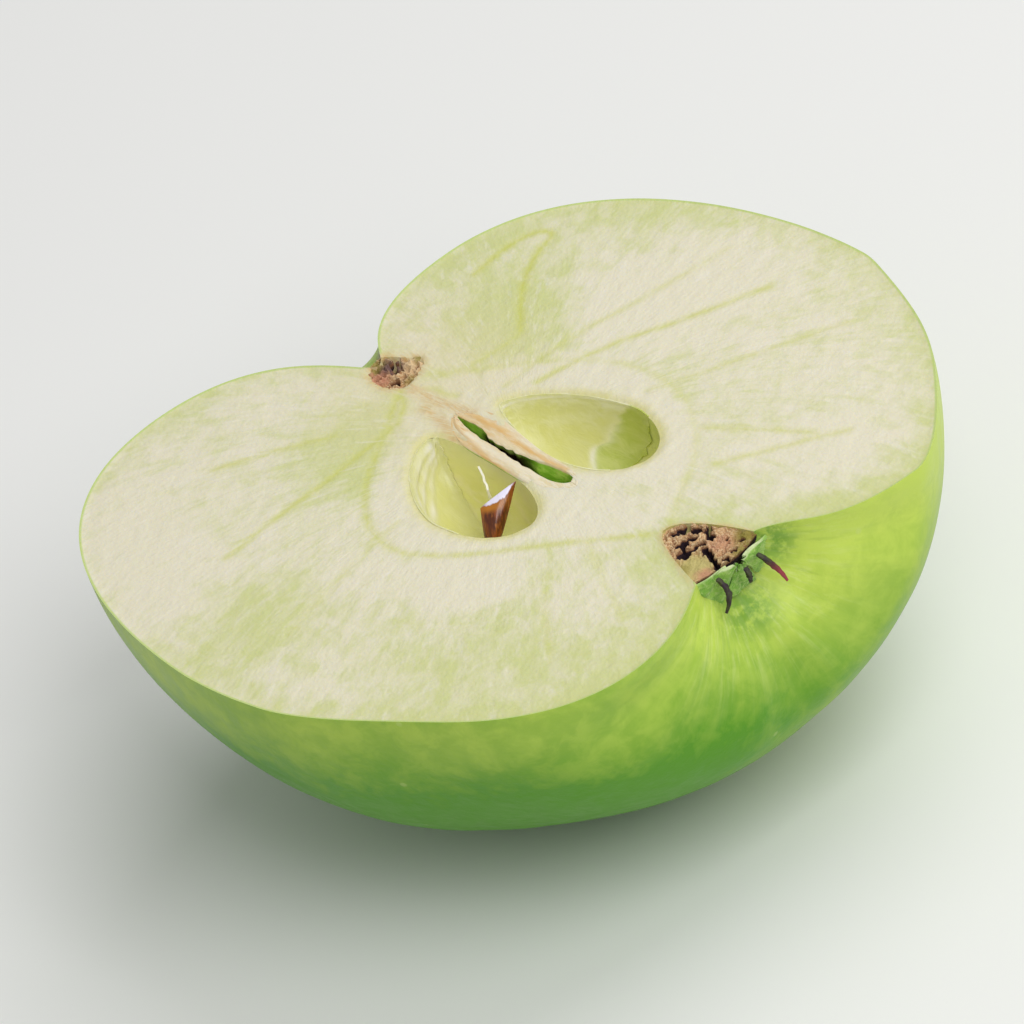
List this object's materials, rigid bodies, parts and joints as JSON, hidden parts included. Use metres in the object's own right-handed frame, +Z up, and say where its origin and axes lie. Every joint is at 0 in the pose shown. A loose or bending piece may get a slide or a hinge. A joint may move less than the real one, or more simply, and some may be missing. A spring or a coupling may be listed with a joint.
{
  "type": "apple half",
  "caption": "Half of a green apple cut from stem to calyx, lying cut face up, with open seed chambers, a seed, a broken stem stub and dried calyx remains.",
  "frame": {"origin": "under the middle of the half, on the surface that it lies on", "axes": "+Z up, square to the cut face; +X across both lobes; +Y towards the stem end, -Y towards the calyx"},
  "size_m": [0.0766, 0.069, 0.033],
  "materials": {
    "flesh_and_skin": "moist pale flesh on the cut face, waxy green skin on the round side",
    "papery_lining": "satin",
    "carpel_wall": "matt",
    "dry_brown": "matt, crumbly",
    "sepal_green": "matt, downy",
    "seed_coat": "glossy"
  },
  "bodies": {
    "root": {"apple_half": "flesh_and_skin", "stem_stub": "dry_brown", "calyx_stamens": "dry_brown", "dry_tip_left": "dry_brown", "dry_tip_middle": "dry_brown", "dry_tip_right": "dry_brown", "sepal_left": "sepal_green", "sepal_middle": "sepal_green", "sepal_right": "sepal_green", "chamber_lining_right": "papery_lining", "chamber_lining_left": "papery_lining", "carpel_wall_right": "carpel_wall", "carpel_wall_left": "carpel_wall", "seed": "seed_coat"}
  },
  "joints": []
}
